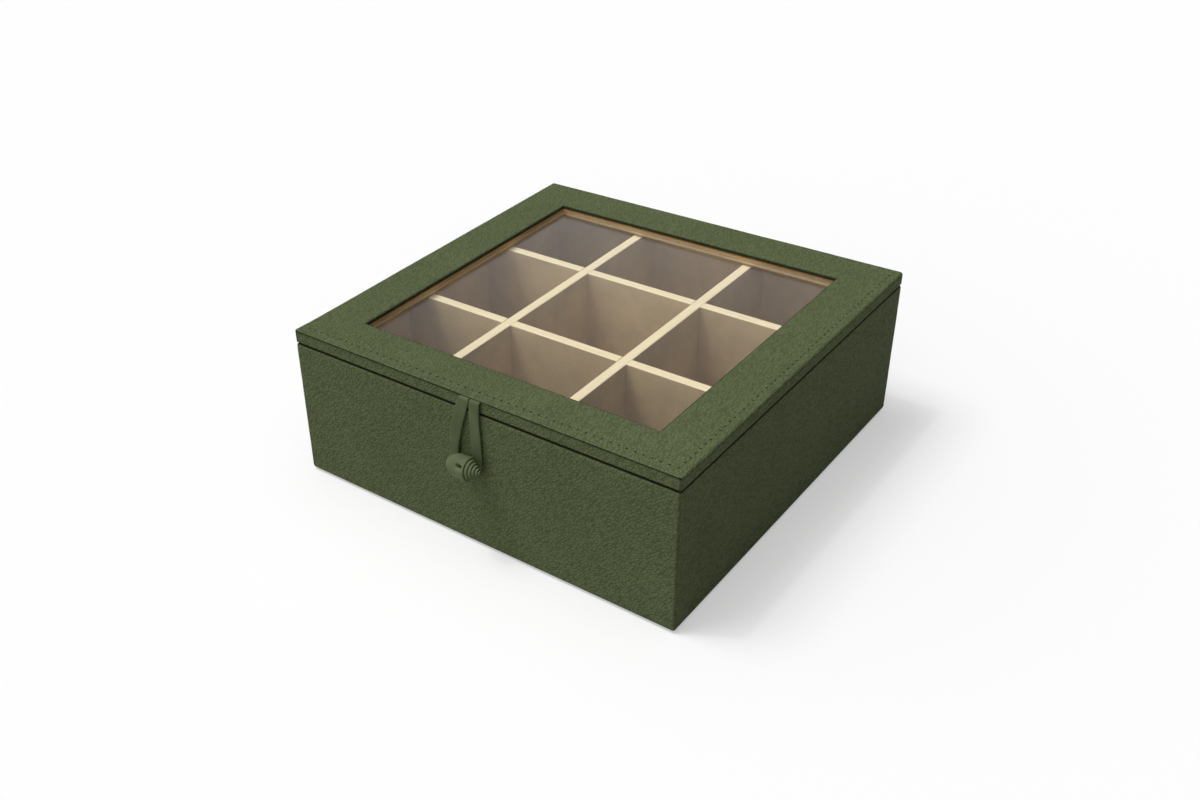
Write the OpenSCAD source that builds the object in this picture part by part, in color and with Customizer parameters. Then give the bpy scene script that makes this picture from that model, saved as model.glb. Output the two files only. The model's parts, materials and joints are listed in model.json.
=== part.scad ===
// Tea bag organizer box: a board box covered in leather, with nine cells,
// a glazed lid on two brass hinges, and a leather loop that closes over a rolled toggle.
// Millimetres. Origin: middle of the underside. The front, with the toggle, faces -Y. Up is +Z.

/* [Box] */
// Width of the box, left to right
box_w = 240; // [220:1:280]
// Depth of the box, front to back, without toggle and hinges
box_d = 240; // [220:1:280]
// Height with the lid closed
box_h = 91; // [80:0.5:110]
// Thickness of the wall boards
board_t = 9; // [8:0.5:11]
// Thickness of the base board
base_t = 6; // [5:0.5:8]
// Thickness of the leather round the outside
leather_t = 1; // [0.8:0.1:1.2]
// Rounding of the leather along the lower edges
foot_r = 2.6; // [2:0.1:3.5]
// Rounding of the upright corners
corner_r = 1.6; // [1.3:0.1:2.5]

/* [Cells] */
// Thickness of the dividers
divider_t = 5.6; // [4:0.1:7]
// How far the dividers stay below the rim
divider_drop = 0.5; // [0.3:0.1:3]

/* [Lid] */
// Thickness of the lid
lid_t = 7.8; // [7.6:0.1:8.6]
// Width of the frame round the window
frame_w = 28; // [24:0.5:34]
// Thickness of the padded leather on top of the lid
lid_leather_t = 1.4; // [1.2:0.1:1.6]
// Rounding of the lid along its left, right and back edges
lid_edge_r = 2.8; // [2:0.1:3]
// Thickness of the window glass
glass_t = 2; // [1.5:0.1:2.2]

/* [Hinges] */
// Distance of each hinge from the middle of the back
hinge_x = 72; // [40:1:85]
// Length of each hinge
hinge_len = 24; // [18:1:30]

/* [Closure] */
// Width of the strap that forms the loop
strap_w = 6.2; // [5:0.1:6.2]
// Thickness of the strap
strap_t = 1.2; // [1:0.1:1.3]
// Height of the toggle's axis above the surface the box stands on
toggle_z = 54.6; // [50:0.2:56]
// Largest radius of the rolled toggle
toggle_r = 6.1; // [5:0.1:6.2]

/* [Hidden] */

leather_green = [0.29, 0.33, 0.22];
strap_green = [0.33, 0.37, 0.26];
suede_taupe = [0.55, 0.49, 0.42];
felt_grey = [0.24, 0.24, 0.22];
board_brown = [0.66, 0.53, 0.38];
frame_honey = [0.72, 0.55, 0.32];
divider_cream = [0.89, 0.84, 0.71];
brass = [0.80, 0.65, 0.35];
glass_tint = [0.80, 0.85, 0.85, 0.35];

round_fn = 48;                      // segments of a full round
cut = 1;                            // how far a cutter runs past a face
felt_t = 0.5;                       // felt under the base
turn_t = 0.8;                       // leather where it is turned over an edge
lining_t = 0.8;                     // suede linings
seam = 0.1;                         // play between pieces glued side by side
lid_gap = 0.45;                     // between the rim and the closed lid

half_w = box_w / 2;
half_d = box_d / 2;
lid_z = box_h - lid_t;              // underside of the lid
rim_z = lid_z - lid_gap;            // top of the body's rim
core_w = half_w - leather_t;        // outer faces of the boards
core_d = half_d - leather_t;
core_lo = felt_t + turn_t;
core_hi = rim_z - turn_t;
well_w = core_w - board_t;          // inner faces of the boards
well_d = core_d - board_t;
floor_z = core_lo + base_t + lining_t;
cell_w = well_w - lining_t;         // inner faces of the linings
cell_d = well_d - lining_t;
turn_under = 12;                    // width of the leather turned under the base
rim_r = 0.9;                        // rounding of the leather over the rim

cells = 3;                          // cells each way
divider_top = rim_z - divider_drop;
divider_r = 0.5;
lap_play = 0.1;
pitch_x = (2 * cell_w + divider_t) / cells;
pitch_y = (2 * cell_d + divider_t) / cells;

frame_lo = lid_z + turn_t;          // underside of the lid's rails
frame_hi = box_h - lid_leather_t;
band_t = 1;                         // leather band along the lid's front
band_inset = 0.4;                   // the band lies behind the edge of the top leather
lip_t = 0.45;                       // edge of the top leather above the band
lip_r = 0.4;
band_drop = 0.25;                   // the band stays below that edge
band_r = 0.5;                       // rounding along the top of the band
rail_front = half_d - band_inset - band_t;
window_w = half_w - frame_w;
window_d = half_d - frame_w;
rabbet = 5;                         // ledge over the edge of the glass
rail_lip = 2.4;                     // wood that shows above the glass
glass_hi = frame_hi - rail_lip;
glass_lo = glass_hi - glass_t;
glass_play = 0.4;
bead_inset = 0.5;                   // the beads stay out of sight behind the window's edge
turn_in = 10;                       // width of the leather turned in under the lid

knuckle_r = 2;
pin_r = 0.9;
pin_head_r = 1.5;
pin_head_t = 0.6;
run_play = 0.05;                    // running clearance round the pin
knuckle_gap = 0.1;                  // between the knuckles
leaf_gap = lid_gap / 2;             // from the axis to each leaf
leaf_t = turn_t;                    // the leaves fill the cut in the turned leather
leaf_end = 10.7;                    // far edge of a leaf, from the hinge axis
axis_back = 2.2;                    // the axis lies this far behind the back face
leaf_near = 2.3;
leaf_play = 0.15;
screw_x = 7.5;
screw_y = 6.5;
screw_r = 0.9;
screw_head_r = 1.9;
body_screw_len = 8;
lid_screw_len = 5;
hinge_axis = [0, half_d + axis_back, (rim_z + lid_z) / 2];

strap_gap = 0.4;                    // between the two ends of the strap
strap_x = 1.4;                      // middle of the two ends, right of the box's middle
strap_y = half_d + 1.1;             // middle of the hanging strap's thickness
tab_play = 0.05;                    // between the strap and the top leather
strap_z = box_h - lip_t - tab_play - strap_t / 2;
tab_len = 12;
loop_left = -9.7;                   // centre line of the left leg beside the toggle
loop_right = 5.1;                   // centre line of the right leg beside the toggle
loop_arc_z = toggle_z - 0.6;        // where the legs run into the round end
leg_ease = 1.2;                     // how soon the left leg turns down
leg_bow = 0.3;                      // the right leg bows in, then out, by this much
leg_spread = 0.7;                   // the left leg is wider by this much half way
spread_end = 0.28;                  // share of the loop that is the left leg
leg_steps = 10;
arc_steps = 16;

toggle_y = -(half_d + 8.4);
toggle_left = -8.9;                 // blunt end of the toggle
wrap_start = -0.5;                  // the blunt end swells up to here
swell = 1.5;                        // 1 makes the end round, 2 a parabola
swell_step = 10;
edge_step = 30;
wrap_right = 5.6;                   // right edge of the outer wrap
turns = 5;                          // turns of the strip that show as steps
turn_pitch = 1.36;                  // from the edge of one turn to the next
layer_t = 0.95;                     // thickness of the rolled strip
step_r = 0.35;                      // rounding of each turn's edge
stem_x = 0.3;
thong_r = 1.4;
thong_play = 0.3;
thong_in = 3.5;                     // length of the thong inside the toggle
washer_r = 4;
washer_t = 1;
knot_r = 2.6;
knot_t = 1;
recess_t = 2.4;
slit_x = 2.6;
slit_w = 1.3;
slit_len = 2.6;
slit_depth = 2.2;
slit_tilt = 40;                     // the slit looks this far up from the front
slit_turn = 25;

// A rectangle from lo to hi. radii are those of the corners at
// low x low y, high x low y, high x high y and low x high y.
module soft_rect(lo, hi, radii) {
    corners = [[lo.x, lo.y], [hi.x, lo.y], [hi.x, hi.y], [lo.x, hi.y]];
    inward = [[1, 1], [-1, 1], [-1, -1], [1, -1]];
    difference() {
        translate(lo) square([hi.x - lo.x, hi.y - lo.y]);
        for (i = [0:3]) if (radii[i] > 0) {
            r = radii[i];
            centre = corners[i] + r * inward[i];
            difference() {
                translate(corners[i] - cut * inward[i])
                    mirror([inward[i].x < 0 ? 1 : 0, 0])
                    mirror([0, inward[i].y < 0 ? 1 : 0])
                    square(r + cut);
                translate(centre) circle(r = r, $fn = round_fn);
            }
        }
    }
}

// A block from lo to hi whose edges are rounded: plan holds the upright edges,
// front the edges that run front to back, side the edges that run left to right.
module soft_block(lo, hi, plan, front, side) {
    intersection() {
        translate([0, 0, lo.z])
            linear_extrude(hi.z - lo.z)
            soft_rect([lo.x, lo.y], [hi.x, hi.y], plan);
        translate([0, hi.y, 0]) rotate([90, 0, 0])
            linear_extrude(hi.y - lo.y)
            soft_rect([lo.x, lo.z], [hi.x, hi.z], front);
        translate([lo.x, 0, 0]) rotate([90, 0, 90])
            linear_extrude(hi.x - lo.x)
            soft_rect([lo.y, lo.z], [hi.y, hi.z], side);
    }
}

module span(lo, hi) {
    translate(lo) cube(hi - lo);
}

module both_hinges() {
    for (side = [-1, 1])
        translate(hinge_axis + [side * hinge_x, 0, 0]) children();
}

module both_screws() {
    for (side = [-1, 1])
        translate([side * screw_x, -screw_y, 0]) children();
}

// ---------- body ----------

// Everything inside the body's leather
module body_core() {
    r = foot_r - leather_t;
    upright = corner_r - leather_t;
    soft_block([-core_w, -core_d, core_lo], [core_w, core_d, core_hi],
        [upright, upright, upright, upright], [r, r, 0, 0], [r, r, 0, 0]);
}

module thong_hole() {
    translate([stem_x, -half_d - cut, toggle_z]) rotate([-90, 0, 0])
        cylinder(r = thong_r + thong_play, h = board_t + leather_t + 2 * cut, $fn = round_fn);
}

module thong_recess() {
    translate([stem_x, -well_d - recess_t, toggle_z]) rotate([-90, 0, 0])
        cylinder(r = washer_r + thong_play, h = recess_t + cut, $fn = round_fn);
}

// Cut in the turned leather that a hinge leaf fills
module leaf_cut(z_lo, z_hi) {
    x = hinge_len / 2 + leaf_play;
    both_hinges()
        span([-x, -leaf_end - leaf_play, z_lo], [x, -axis_back + cut, z_hi]);
}

module base_felt() {
    margin = 6;
    r = 4;
    color(felt_grey)
        linear_extrude(felt_t)
        soft_rect([margin - half_w, margin - half_d], [half_w - margin, half_d - margin], [r, r, r, r]);
}

module base_filler() {
    x = half_w - turn_under - seam;
    y = half_d - turn_under - seam;
    color(board_brown)
        span([-x, -y, felt_t], [x, y, core_lo]);
}

module base_board() {
    color(board_brown)
        span([-well_w, -well_d, core_lo], [well_w, well_d, core_lo + base_t]);
}

module front_board() {
    color(board_brown) difference() {
        intersection() {
            body_core();
            span([-half_w, -half_d, 0], [half_w, -well_d, box_h]);
        }
        thong_hole();
        thong_recess();
    }
}

module back_board() {
    color(board_brown) difference() {
        intersection() {
            body_core();
            span([-half_w, well_d, 0], [half_w, half_d, box_h]);
        }
        both_hinges() both_screws()
            translate([0, 0, -body_screw_len - cut])
            cylinder(r = screw_r + run_play, h = body_screw_len + cut, $fn = round_fn);
    }
}

module side_board(side) {
    color(board_brown) intersection() {
        body_core();
        if (side < 0)
            span([-half_w, -well_d, 0], [-well_w, well_d, box_h]);
        else
            span([well_w, -well_d, 0], [half_w, well_d, box_h]);
    }
}

module body_leather() {
    color(leather_green) difference() {
        soft_block([-half_w, -half_d, felt_t], [half_w, half_d, rim_z],
            [corner_r, corner_r, corner_r, corner_r],
            [foot_r, foot_r, rim_r, rim_r], [foot_r, foot_r, rim_r, rim_r]);
        body_core();
        span([-cell_w, -cell_d, core_hi - cut], [cell_w, cell_d, rim_z + cut]);
        span([turn_under - half_w, turn_under - half_d, -cut],
            [half_w - turn_under, half_d - turn_under, core_lo + cut]);
        leaf_cut(-leaf_t - leaf_gap, cut);
        thong_hole();
    }
}

// ---------- linings and dividers ----------

module floor_lining() {
    color(suede_taupe)
        span([-well_w, -well_d, floor_z - lining_t], [well_w, well_d, floor_z]);
}

module cross_lining(y_lo) {
    color(suede_taupe)
        span([-well_w, y_lo, floor_z], [well_w, y_lo + lining_t, core_hi]);
}

module side_lining(x_lo) {
    color(suede_taupe)
        span([x_lo, -cell_d, floor_z], [x_lo + lining_t, cell_d, core_hi]);
}

// A divider along X, half as deep as it is high where the others cross it.
// notch_up says that its slots open upwards.
module divider(length, pitch, notch_up) {
    mid = (floor_z + divider_top) / 2;
    slot = divider_t / 2 + lap_play;
    color(divider_cream) difference() {
        translate([-length / 2, 0, 0]) rotate([90, 0, 90])
            linear_extrude(length)
            soft_rect([-divider_t / 2, floor_z], [divider_t / 2, divider_top],
                [0, 0, divider_r, divider_r]);
        for (side = [-1, 1]) translate([side * pitch / 2, 0, 0])
            if (notch_up)
                span([-slot, -divider_t, mid], [slot, divider_t, rim_z + cut]);
            else
                span([-slot, -divider_t, floor_z - cut], [slot, divider_t, mid]);
    }
}

module cross_divider(side) {
    translate([0, side * pitch_y / 2, 0]) divider(2 * cell_w, pitch_x, true);
}

module long_divider(side) {
    translate([side * pitch_x / 2, 0, 0]) rotate([0, 0, 90]) divider(2 * cell_d, pitch_y, false);
}

// ---------- lid ----------

// Everything inside the lid's leather
module lid_core() {
    r = lid_edge_r - lid_leather_t;
    upright = corner_r - leather_t;
    soft_block([-core_w, -rail_front, frame_lo], [core_w, core_d, frame_hi],
        [0, 0, upright, upright], [0, 0, r, r], [0, 0, r, 0]);
}

// The mitred quarter of the lid that one rail fills, for the rail towards -Y
module front_quarter() {
    far = 2 * half_w;
    reach = far * window_d / window_w;
    linear_extrude(box_h + cut)
        polygon([[-window_w, -window_d], [window_w, -window_d], [far, -reach], [-far, -reach]]);
}

module side_quarter(side) {
    far = 2 * half_w;
    reach = far * window_d / window_w;
    linear_extrude(box_h + cut)
        polygon([[side * window_w, -window_d], [side * window_w, window_d],
            [side * far, reach], [side * far, -reach]]);
}

module glass_rabbet() {
    x = window_w + rabbet;
    y = window_d + rabbet;
    span([-x, -y, frame_lo - cut], [x, y, glass_hi]);
}

module lid_screw_holes() {
    both_hinges() both_screws()
        cylinder(r = screw_r + run_play, h = leaf_gap + lid_screw_len + knuckle_gap, $fn = round_fn);
}

// Room for the strap's ends between the top leather, the band and the rail
module tab_pocket() {
    half = strap_w + strap_gap / 2 + seam;
    span([strap_x - half, -half_d - cut, strap_z - strap_t / 2 - seam / 2],
        [strap_x + half, -half_d + tab_len, strap_z + strap_t / 2 + seam / 2]);
}

module lid_front_rail() {
    color(frame_honey) difference() {
        intersection() {
            lid_core();
            front_quarter();
        }
        glass_rabbet();
        tab_pocket();
    }
}

module lid_back_rail() {
    color(frame_honey) difference() {
        intersection() {
            lid_core();
            mirror([0, 1, 0]) front_quarter();
        }
        glass_rabbet();
        lid_screw_holes();
    }
}

module lid_side_rail(side) {
    color(frame_honey) difference() {
        intersection() {
            lid_core();
            side_quarter(side);
        }
        glass_rabbet();
    }
}

module lid_leather() {
    inner_x = half_w - turn_in;
    inner_y = half_d - turn_in;
    band_end = core_w - seam;
    color(leather_green) difference() {
        soft_block([-half_w, -half_d, lid_z], [half_w, half_d, box_h],
            [corner_r, corner_r, corner_r, corner_r],
            [rim_r, rim_r, lid_edge_r, lid_edge_r], [0, rim_r, lid_edge_r, lip_r]);
        lid_core();
        span([-inner_x, -half_d - cut, lid_z - cut], [inner_x, inner_y, frame_lo]);
        span([-window_w, -window_d, frame_lo], [window_w, window_d, box_h + cut]);
        span([-band_end, -half_d - cut, lid_z - cut], [band_end, -rail_front, box_h - lip_t]);
        span([-half_w - cut, -half_d - cut, lid_z - cut],
            [half_w + cut, -half_d + band_inset, box_h - lip_t]);
        leaf_cut(-cut, leaf_t + leaf_gap);
        tab_pocket();
    }
}

module lid_front_band() {
    end = core_w - 2 * seam;
    inner_x = half_w - turn_in - seam;
    face = -half_d + band_inset;
    top = box_h - lip_t - band_drop;
    color(leather_green) difference() {
        union() {
            translate([-end, 0, 0]) rotate([90, 0, 90])
                linear_extrude(2 * end)
                soft_rect([face, lid_z], [-rail_front, top], [rim_r, 0, 0, band_r]);
            span([-inner_x, -rail_front - seam, lid_z], [inner_x, -half_d + turn_in, frame_lo]);
        }
        tab_pocket();
    }
}

module lid_lining() {
    inner_x = window_w + bead_inset;
    inner_y = window_d + bead_inset;
    outer_x = half_w - turn_in - seam;
    outer_y = half_d - turn_in - seam;
    color(suede_taupe) difference() {
        span([-outer_x, -outer_y, lid_z], [outer_x, outer_y, frame_lo]);
        span([-inner_x, -inner_y, lid_z - cut], [inner_x, inner_y, frame_lo + cut]);
    }
}

module glass_pane() {
    x = window_w + rabbet - glass_play;
    y = window_d + rabbet - glass_play;
    color(glass_tint)
        span([-x, -y, glass_lo], [x, y, glass_hi]);
}

// Four mitred strips that hold the glass up in its rabbet
module glass_beads() {
    inner_x = window_w + bead_inset;
    inner_y = window_d + bead_inset;
    outer_x = window_w + rabbet - seam;
    outer_y = window_d + rabbet - seam;
    mitre = seam / 2;
    color(frame_honey)
        for (side = [-1, 1]) {
            translate([0, 0, frame_lo]) linear_extrude(glass_lo - frame_lo)
                polygon([[mitre - inner_x, side * inner_y], [inner_x - mitre, side * inner_y],
                    [outer_x - mitre, side * outer_y], [mitre - outer_x, side * outer_y]]);
            translate([0, 0, frame_lo]) linear_extrude(glass_lo - frame_lo)
                polygon([[side * inner_x, mitre - inner_y], [side * inner_x, inner_y - mitre],
                    [side * outer_x, outer_y - mitre], [side * outer_x, mitre - outer_y]]);
        }
}

// ---------- hinges, drawn round the hinge axis ----------

module knuckle(x_lo, x_hi) {
    translate([x_lo, 0, 0]) rotate([0, 90, 0])
        cylinder(r = knuckle_r, h = x_hi - x_lo, $fn = round_fn);
}

module pin_bore() {
    translate([-hinge_len / 2 - cut, 0, 0]) rotate([0, 90, 0])
        cylinder(r = pin_r + run_play, h = hinge_len + 2 * cut, $fn = round_fn);
}

module screw(length) {
    head_t = screw_head_r - screw_r;
    translate([0, 0, -leaf_t])
        cylinder(r1 = screw_head_r - leaf_t, r2 = screw_head_r, h = leaf_t, $fn = round_fn);
    translate([0, 0, -length])
        cylinder(r = screw_r, h = length - head_t / 2, $fn = round_fn);
}

module screw_seat() {
    flare = screw_head_r + run_play;
    translate([0, 0, -leaf_t - cut / 2])
        cylinder(r1 = flare - leaf_t - cut / 2, r2 = flare + cut / 2, h = leaf_t + cut, $fn = round_fn);
}

// A leaf under the axis, with knuckles over each [from, to] in wings
module leaf(wings) {
    half = hinge_len / 2;
    top = -leaf_gap;
    difference() {
        union() {
            span([-half, -leaf_end, top - leaf_t], [half, -leaf_near, top]);
            for (wing = wings) {
                span([wing[0], -leaf_near - seam, top - leaf_t], [wing[1], 0, top]);
                knuckle(wing[0], wing[1]);
            }
        }
        pin_bore();
        both_screws() translate([0, 0, top]) screw_seat();
    }
}

module hinge_body_leaves() {
    half = hinge_len / 2;
    third = hinge_len / 6 + knuckle_gap;
    color(brass) both_hinges() leaf([[-half, -third], [third, half]]);
}

module hinge_lid_leaves() {
    third = hinge_len / 6 - knuckle_gap;
    color(brass) both_hinges() mirror([0, 0, 1]) leaf([[-third, third]]);
}

module hinge_pins() {
    half = hinge_len / 2;
    color(brass) both_hinges() {
        translate([-half, 0, 0]) rotate([0, 90, 0])
            cylinder(r = pin_r, h = hinge_len, $fn = round_fn);
        for (side = [-1, 1])
            translate([side * (half + pin_head_t / 2), 0, 0]) rotate([0, 90, 0])
                cylinder(r = pin_head_r, h = pin_head_t, center = true, $fn = round_fn);
    }
}

module hinge_body_screws() {
    color(brass) both_hinges() both_screws()
        translate([0, 0, -leaf_gap]) screw(body_screw_len);
}

module hinge_lid_screws() {
    color(brass) both_hinges() mirror([0, 0, 1]) both_screws()
        translate([0, 0, -leaf_gap]) screw(lid_screw_len);
}

// ---------- closure ----------

// The two ends of the strap, glued side by side under the lid's leather
module loop_tab() {
    half = strap_w + strap_gap / 2;
    front = -strap_y + strap_t / 2 + seam;
    back = -half_d + tab_len - seam;
    slot_end = back - strap_w;
    color(strap_green)
        translate([strap_x, 0, strap_z - strap_t / 2])
        linear_extrude(strap_t)
        polygon([[-half, front], [-strap_gap / 2, front], [-strap_gap / 2, slot_end],
            [strap_gap / 2, slot_end], [strap_gap / 2, front], [half, front],
            [half, back], [-half, back]]);
}

// Smooth run from a to b as s goes from 0 to 1, level at the far end
function eased(a, b, s) = a + (b - a) * (1 - pow(1 - s, leg_ease));

// Centre line of the loop, seen from the front as [x, z]: down the left leg,
// round the end below the toggle's stem, and up the right leg.
leg_top = [strap_x - (strap_w + strap_gap) / 2, strap_x + (strap_w + strap_gap) / 2];
arc_r = (loop_right - loop_left) / 2;
arc_x = (loop_right + loop_left) / 2;
left_leg = [for (i = [0:leg_steps])
    let (s = i / leg_steps)
    [eased(leg_top[0], loop_left, s), strap_z + (loop_arc_z - strap_z) * s]];
round_end = [for (i = [1:arc_steps - 1])
    let (a = 180 + 180 * i / arc_steps)
    [arc_x + arc_r * cos(a), loop_arc_z + arc_r * sin(a)]];
right_leg = [for (i = [leg_steps:-1:0])
    let (s = i / leg_steps)
    [leg_top[1] + (loop_right - leg_top[1]) * s - leg_bow * sin(360 * s),
        strap_z + (loop_arc_z - strap_z) * s]];
loop_line = concat(left_leg, round_end, right_leg);

function unit(v) = v / norm(v);
function way(line, i) = unit(line[min(i + 1, len(line) - 1)] - line[max(i - 1, 0)]);
function beside(line, i, d) = line[i] + d * [-way(line, i).y, way(line, i).x];

// Half the strap's width at a share of the way round the loop
function strap_half(share) =
    (strap_w + leg_spread * sin(180 * min(1, share / spread_end))) / 2;

module loop_outline() {
    last = len(loop_line) - 1;
    polygon(concat(
        [for (i = [0:last]) beside(loop_line, i, strap_half(i / last))],
        [for (i = [last:-1:0]) beside(loop_line, i, -strap_half(i / last))]));
}

module closure_loop() {
    color(strap_green) {
        difference() {
            translate([0, strap_t / 2 - strap_y, 0]) rotate([90, 0, 0])
                linear_extrude(strap_t) loop_outline();
            span([-half_w, -strap_y - strap_t, strap_z], [half_w, -strap_y + strap_t, box_h + strap_w]);
        }
        for (x = leg_top)
            translate([x, -strap_y, strap_z]) rotate([0, 90, 0])
                cylinder(r = strap_t / 2, h = strap_w, center = true, $fn = round_fn);
    }
}

// Radius and right edge of turn i, counted from the outer wrap
function turn_radius(i) = toggle_r - i * layer_t;
function turn_end(i) = wrap_right + i * turn_pitch;

// Half outline of the toggle as [x, r]: a blunt swelling end, then the stepped turns
toggle_outline = concat(
    [[toggle_left, 0]],
    [for (a = [swell_step:swell_step:90])
        [wrap_start - (wrap_start - toggle_left) * cos(a), toggle_r * pow(sin(a), swell)]],
    [for (i = [0:turns]) for (a = [90:-edge_step:0])
        [turn_end(i) - step_r + step_r * cos(a), turn_radius(i) - step_r + step_r * sin(a)]],
    [[turn_end(turns), 0]]);

// A tapered strip rolled up from its narrow end, so that its turns step down to the right.
// The wide end's slit, which the tail was pulled through, looks up and forward.
module toggle_bead() {
    color(strap_green) difference() {
        translate([0, toggle_y, toggle_z]) rotate([0, 90, 0])
            rotate_extrude($fn = round_fn)
            polygon([for (p = toggle_outline) [p.y, p.x]]);
        translate([stem_x, toggle_y + toggle_r - thong_in, toggle_z]) rotate([-90, 0, 0])
            cylinder(r = thong_r, h = thong_in + cut, $fn = round_fn);
        translate([slit_x, toggle_y, toggle_z]) rotate([-slit_tilt, 0, 0])
            translate([0, -toggle_r + slit_depth, 0]) rotate([90, slit_turn, 0]) {
                span([-slit_len / 2, -slit_w / 2, 0], [slit_len / 2, slit_w / 2, toggle_r]);
                for (side = [-1, 1]) translate([side * slit_len / 2, 0, 0])
                    cylinder(d = slit_w, h = toggle_r, $fn = round_fn);
            }
    }
}

// The tail of the strip, drawn through the front and knotted inside
module toggle_thong() {
    start = toggle_y + toggle_r - thong_in;
    washer_y = -well_d - recess_t + seam;
    color(strap_green) {
        translate([stem_x, start, toggle_z]) rotate([-90, 0, 0])
            cylinder(r = thong_r, h = washer_y + washer_t - start, $fn = round_fn);
        translate([stem_x, washer_y + washer_t, toggle_z]) rotate([-90, 0, 0])
            cylinder(r = knot_r, h = knot_t, $fn = round_fn);
    }
}

module thong_washer() {
    color(brass)
        translate([stem_x, -well_d - recess_t + seam, toggle_z]) rotate([-90, 0, 0])
        difference() {
            cylinder(r = washer_r, h = washer_t, $fn = round_fn);
            translate([0, 0, -cut])
                cylinder(r = thong_r, h = washer_t + 2 * cut, $fn = round_fn);
        }
}

base_felt();
base_filler();
base_board();
front_board();
back_board();
side_board(-1);  // left_board
side_board(1);  // right_board
body_leather();
floor_lining();
cross_lining(-well_d);  // front_lining
cross_lining(cell_d);  // back_lining
side_lining(-well_w);  // left_lining
side_lining(cell_w);  // right_lining
cross_divider(-1);  // divider_front
cross_divider(1);  // divider_back
long_divider(-1);  // divider_left
long_divider(1);  // divider_right
hinge_body_leaves();
hinge_pins();
hinge_body_screws();
lid_front_rail();
lid_back_rail();
lid_side_rail(-1);  // lid_left_rail
lid_side_rail(1);  // lid_right_rail
lid_leather();
lid_front_band();
lid_lining();
glass_pane();
glass_beads();
hinge_lid_leaves();
hinge_lid_screws();
loop_tab();
closure_loop();
toggle_bead();
toggle_thong();
thong_washer();
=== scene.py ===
"""Tea bag organizer box: leather skins, closure, finishes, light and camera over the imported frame."""
import json
import math

import bmesh
import bpy
from mathutils import Matrix, Vector, noise


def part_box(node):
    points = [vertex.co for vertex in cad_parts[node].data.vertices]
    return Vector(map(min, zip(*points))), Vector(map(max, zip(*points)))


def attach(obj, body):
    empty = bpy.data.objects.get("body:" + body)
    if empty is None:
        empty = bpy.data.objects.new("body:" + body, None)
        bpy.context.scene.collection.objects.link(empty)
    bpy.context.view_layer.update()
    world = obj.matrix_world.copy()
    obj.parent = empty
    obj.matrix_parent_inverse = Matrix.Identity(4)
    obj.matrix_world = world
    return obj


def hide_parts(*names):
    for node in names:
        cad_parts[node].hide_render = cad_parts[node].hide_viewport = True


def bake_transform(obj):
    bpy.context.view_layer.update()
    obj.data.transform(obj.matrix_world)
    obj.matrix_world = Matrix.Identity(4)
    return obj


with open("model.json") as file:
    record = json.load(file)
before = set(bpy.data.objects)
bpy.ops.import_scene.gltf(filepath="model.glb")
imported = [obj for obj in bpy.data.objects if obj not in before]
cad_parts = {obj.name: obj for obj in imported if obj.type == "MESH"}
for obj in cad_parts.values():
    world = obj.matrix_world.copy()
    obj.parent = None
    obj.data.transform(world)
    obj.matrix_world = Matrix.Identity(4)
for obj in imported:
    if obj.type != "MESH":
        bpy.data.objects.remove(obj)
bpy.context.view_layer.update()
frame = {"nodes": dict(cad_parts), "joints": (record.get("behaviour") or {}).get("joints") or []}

MM = 0.001  # shapes are worked out in millimetres
X, Y, Z = range(3)


def span(node):
    """Lowest and highest corner of a CAD node, in millimetres."""
    lo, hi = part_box(node)
    return Vector(lo) / MM, Vector(hi) / MM


# ---------- sizes taken from the frame ----------

body_lo, body_hi = span("body_leather")
lid_lo, lid_hi = span("lid_leather")
rail_lo, rail_hi = span("lid_front_rail")
band_lo, band_hi = span("lid_front_band")
leaf_lo, leaf_hi = span("hinge_body_leaves")
tab_lo, tab_hi = span("loop_tab")
bead_lo, bead_hi = span("toggle_bead")
stem_lo, stem_hi = span("toggle_thong")
GLASS_TOP = span("glass_pane")[1].z
joints = {joint["name"]: joint for joint in frame["joints"]}

HALF = body_hi.x                        # half the width of the square plan
FOOT_Z, RIM_Z = body_lo.z, body_hi.z
LID_Z, TOP_Z = lid_lo.z, lid_hi.z
WINDOW = -rail_hi.y                     # half the width of the window
RAIL_TOP = rail_hi.z
RAIL_IN = HALF + rail_lo.y              # how far the front rail lies behind the front
CELL_IN = HALF - span("right_lining")[0].x

# ---------- sizes of the leather ----------

SKIN = 1.0                              # leather round the outside
TURNED = 0.8                            # leather where it is turned over an edge
CORNER_R = 1.6                          # upright corners
FOOT_R = 2.6
RIM_R = 1.2
ROLL_R = 1.4                            # left, right and back edges of the lid
POINT_R = 0.7                           # the same edges where they meet the front
ROLL_RUN = 16                           # length over which the roll narrows to the front
LIP_R = 0.4                             # front edge of the lid's top leather
LIP_T = 0.45
CUT_RUN, CUT_DROP = 2.2, 1.3            # soft edge of the leather at the window
UNDER = 12                              # leather turned under the base
TURN_IN = 10                            # leather turned in under the lid
LEAST_R = 0.15
GRID = 1.4                              # spacing of the leather's mesh
CORNER_STEPS = 6
RIPPLE = 0.11                           # unevenness of the skins


# ---------- mesh helpers ----------

def arc(centre, radius, start, end, steps):
    """Points [inset, z] round a centre, angles in degrees."""
    turns = [math.radians(start + (end - start) * i / steps) for i in range(steps + 1)]
    return [(centre[0] + radius * math.cos(a), centre[1] + radius * math.sin(a)) for a in turns]


def run(a, b, spacing):
    """Points from a up to b, without b."""
    steps = max(1, round((Vector(b) - Vector(a)).length / spacing))
    return [tuple(Vector(a).lerp(Vector(b), i / steps)) for i in range(steps)]


def smooth(value, start, end):
    """0 up to start, 1 from end, and a smooth step between."""
    t = min(1, max(0, (value - start) / (end - start)))
    return t * t * (3 - 2 * t)


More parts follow.
